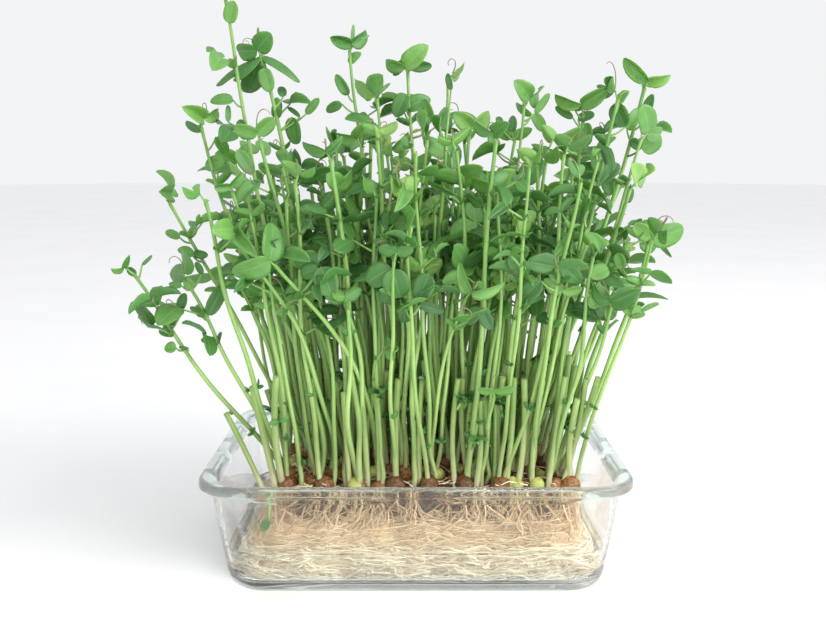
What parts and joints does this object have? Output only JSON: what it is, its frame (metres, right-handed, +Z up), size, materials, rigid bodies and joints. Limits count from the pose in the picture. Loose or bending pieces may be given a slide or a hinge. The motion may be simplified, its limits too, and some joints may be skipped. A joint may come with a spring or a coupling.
{
  "type": "pea shoot microgreens tray",
  "caption": "Pea shoots with paired leaflets and cut stubs, rising from sprouted peas on a dense root mat that stands in shallow water in a clear rounded glass tray.",
  "frame": {"origin": "centre of the container's bottom face, on the surface that it stands on", "axes": "+Z up, +X along the container's long side to the right in the picture, -Y towards the picture's viewer"},
  "size_m": [0.2719, 0.1661, 0.2933],
  "materials": {
    "glass": "clear pressed glass, slightly green at thick edges, glossy",
    "water": "clear still water",
    "roots": "matte beige to creamy white root strands, tangled",
    "peas": "wrinkled red-brown seed coats, satin",
    "greens": "living tissue: pale yellow-green stems and mid green leaflets, soft satin"
  },
  "bodies": {
    "root": {"glass_container": "glass", "water": "water", "root_mat": "roots", "seed_bed": "peas", "plant_01": "greens", "plant_02": "greens", "plant_03": "greens", "plant_04": "greens", "plant_05": "greens", "plant_06": "greens", "plant_07": "greens", "plant_08": "greens", "plant_09": "greens", "plant_10": "greens", "plant_11": "greens", "plant_12": "greens", "plant_13": "greens", "plant_14": "greens", "plant_15": "greens", "plant_16": "greens", "plant_17": "greens", "plant_18": "greens", "plant_19": "greens", "plant_20": "greens", "plant_21": "greens", "plant_22": "greens", "plant_23": "greens", "plant_24": "greens", "plant_25": "greens", "plant_26": "greens", "plant_27": "greens", "plant_28": "greens", "plant_29": "greens", "plant_30": "greens", "plant_31": "greens", "plant_32": "greens", "plant_33": "greens", "plant_34": "greens", "plant_35": "greens", "plant_36": "greens", "plant_37": "greens", "plant_38": "greens", "plant_39": "greens", "plant_40": "greens", "plant_41": "greens", "plant_42": "greens", "plant_43": "greens", "plant_44": "greens", "plant_45": "greens", "plant_46": "greens", "plant_47": "greens", "plant_48": "greens"}
  },
  "joints": []
}
